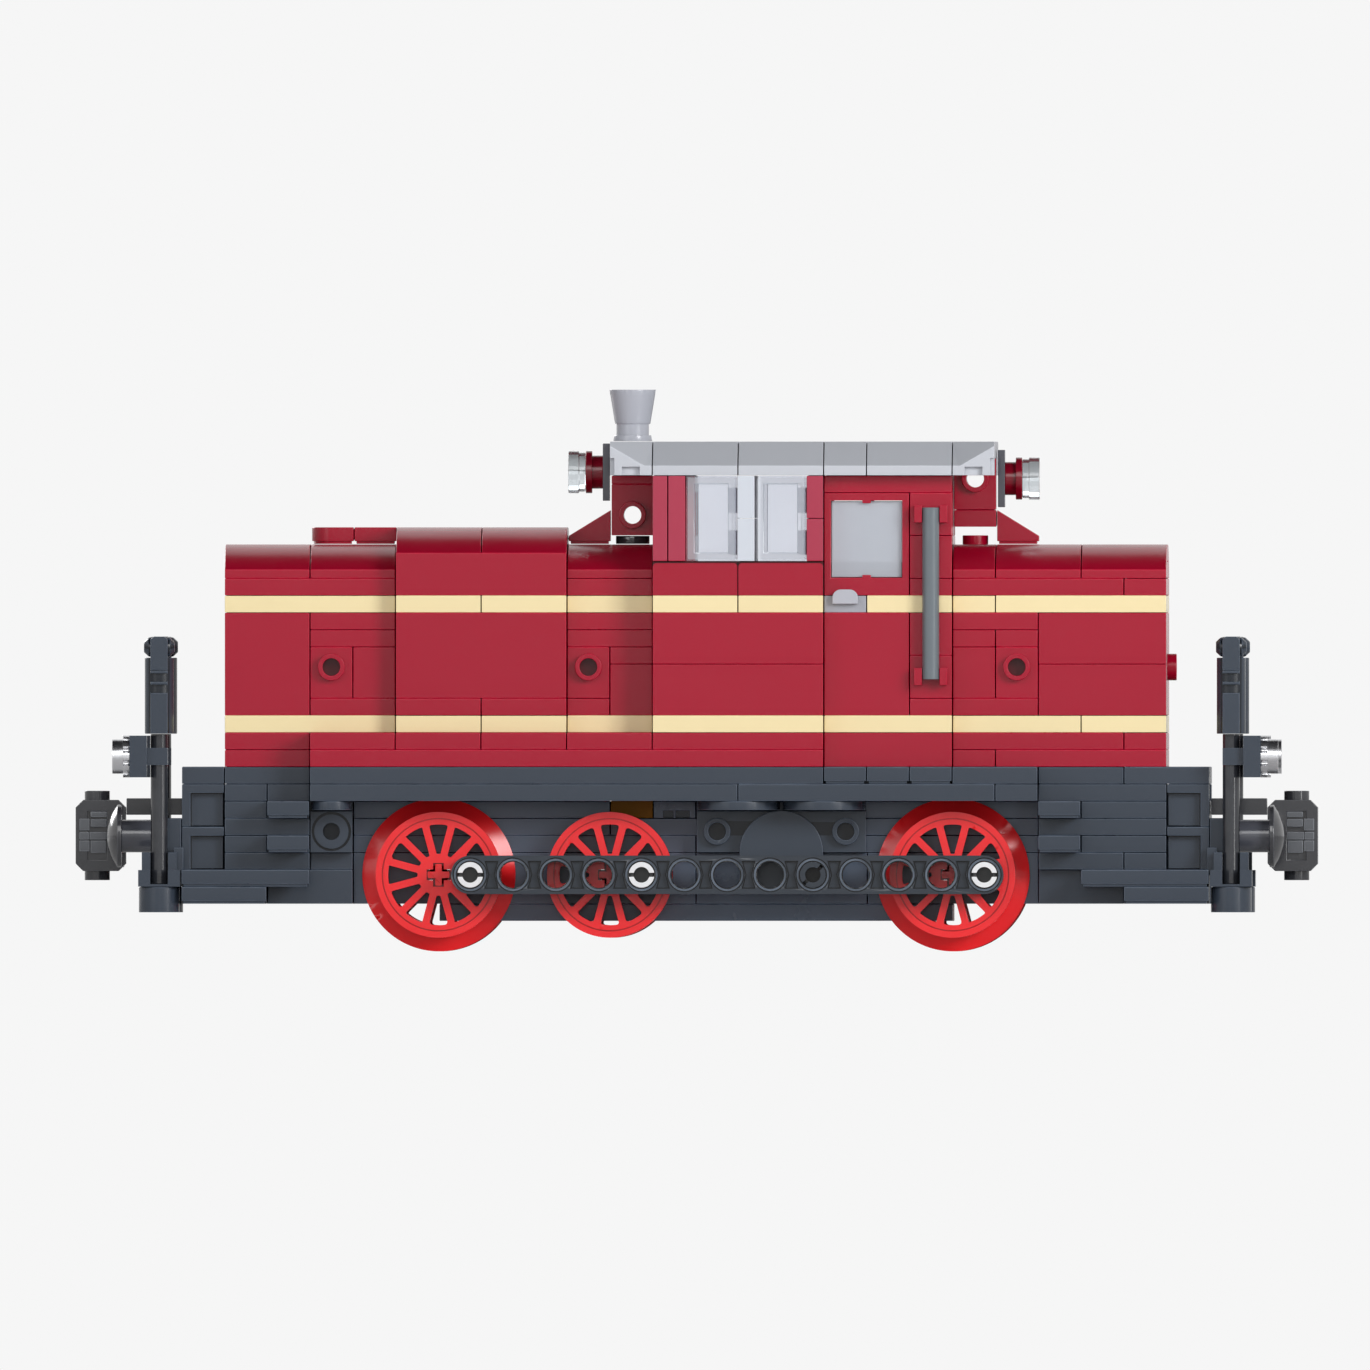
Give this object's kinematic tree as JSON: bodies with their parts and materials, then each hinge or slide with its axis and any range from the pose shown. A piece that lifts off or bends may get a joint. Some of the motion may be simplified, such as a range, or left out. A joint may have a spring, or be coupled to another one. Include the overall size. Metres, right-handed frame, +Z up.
{
  "type": "brick-built toy diesel locomotive",
  "caption": "Brick-built toy diesel shunting locomotive with a long and a short hood, cab, spoked wheels on axles, coupling rods, buffers and couplers.",
  "frame": {"origin": "middle of the footprint, on the plane that the outer wheel flanges stand on", "axes": "+X along the locomotive towards the short hood, +Y across it to the far side, +Z up"},
  "size_m": [0.232, 0.0638, 0.1049],
  "materials": {
    "dark_red": "glossy",
    "cream": "glossy",
    "dark_grey": "glossy",
    "light_grey": "glossy",
    "black": "glossy",
    "bright_red": "glossy",
    "pin_grey": "glossy",
    "clear": "clear",
    "brown": "glossy",
    "silver": "polished"
  },
  "bodies": {
    "chassis": {"axle_beams": "dark_grey", "body_base_courses": "dark_red", "buffer_dishes": "black", "buffer_shanks": "black", "cab_end_walls": "dark_red", "cab_panes": "clear", "cab_side_walls": "dark_red", "cab_window_frames": "light_grey", "chimney": "light_grey", "couplers": "black", "door_handles": "light_grey", "door_panels": "dark_red", "entry_steps": "dark_grey", "frame_brown_blocks": "brown", "frame_corner_panels": "dark_grey", "frame_courses": "dark_grey", "frame_end_courses": "dark_grey", "frame_flange_plates": "dark_grey", "frame_pierced_blocks": "dark_grey", "frame_stud_panels": "dark_grey", "handrail_bars": "dark_grey", "handrail_column": "dark_red", "headlamp_blocks": "dark_grey", "headlamp_lenses": "silver", "hood_stud_bricks": "dark_red", "hood_top_pieces": "dark_red", "lamp_column_feet": "black", "lamp_columns": "dark_red", "long_hood_covers": "dark_red", "long_hood_walls": "dark_red", "lower_stripe": "cream", "post_bars": "dark_grey", "post_footings": "dark_grey", "post_tops": "dark_grey", "raised_hood_backing": "dark_red", "raised_hood_tiles": "dark_red", "rear_hood_covers": "dark_red", "rear_hood_walls": "dark_red", "roof_edges": "light_grey", "roof_slabs": "light_grey", "running_board_deck": "dark_grey", "running_board_edges": "dark_grey", "top_lamp_bodies": "dark_red", "top_lamp_brackets": "dark_grey", "top_lamp_lenses": "clear", "upper_stripe": "cream"},
    "wheelset_front": {"front_wheels": "bright_red", "front_axle": "bright_red", "front_crank_pins": "pin_grey"},
    "wheelset_middle": {"middle_wheels": "bright_red", "middle_axle": "bright_red", "middle_crank_pins": "pin_grey"},
    "wheelset_rear": {"rear_wheels": "bright_red", "rear_axle": "bright_red", "rear_crank_pins": "pin_grey"},
    "rod_near": {"coupling_rod_near": "dark_grey", "rod_pin_near": "dark_grey"},
    "rod_far": {"coupling_rod_far": "dark_grey", "rod_pin_far": "dark_grey"}
  },
  "joints": [
    {"name": "front_axle_spin", "type": "hinge", "parent": "chassis", "child": "wheelset_front", "pos_m": [-0.048, 0, 0.0143], "axis": [0, 1, 0], "continuous": true},
    {"name": "middle_axle_spin", "type": "hinge", "parent": "chassis", "child": "wheelset_middle", "pos_m": [-0.016, 0, 0.0143], "axis": [0, 1, 0], "continuous": true},
    {"name": "rear_axle_spin", "type": "hinge", "parent": "chassis", "child": "wheelset_rear", "pos_m": [0.048, 0, 0.0143], "axis": [0, 1, 0], "continuous": true},
    {"name": "near_rod_pivot", "type": "hinge", "parent": "wheelset_front", "child": "rod_near", "pos_m": [-0.042, -0.0279, 0.0143], "axis": [0, 1, 0], "continuous": true},
    {"name": "far_rod_pivot", "type": "hinge", "parent": "wheelset_front", "child": "rod_far", "pos_m": [-0.048, 0.0279, 0.0203], "axis": [0, 1, 0], "continuous": true}
  ],
  "couplings": [
    {"joint": "middle_axle_spin", "follows": "front_axle_spin", "ratio": 1},
    {"joint": "rear_axle_spin", "follows": "front_axle_spin", "ratio": 1},
    {"joint": "near_rod_pivot", "follows": "front_axle_spin", "ratio": -1},
    {"joint": "far_rod_pivot", "follows": "front_axle_spin", "ratio": -1}
  ]
}
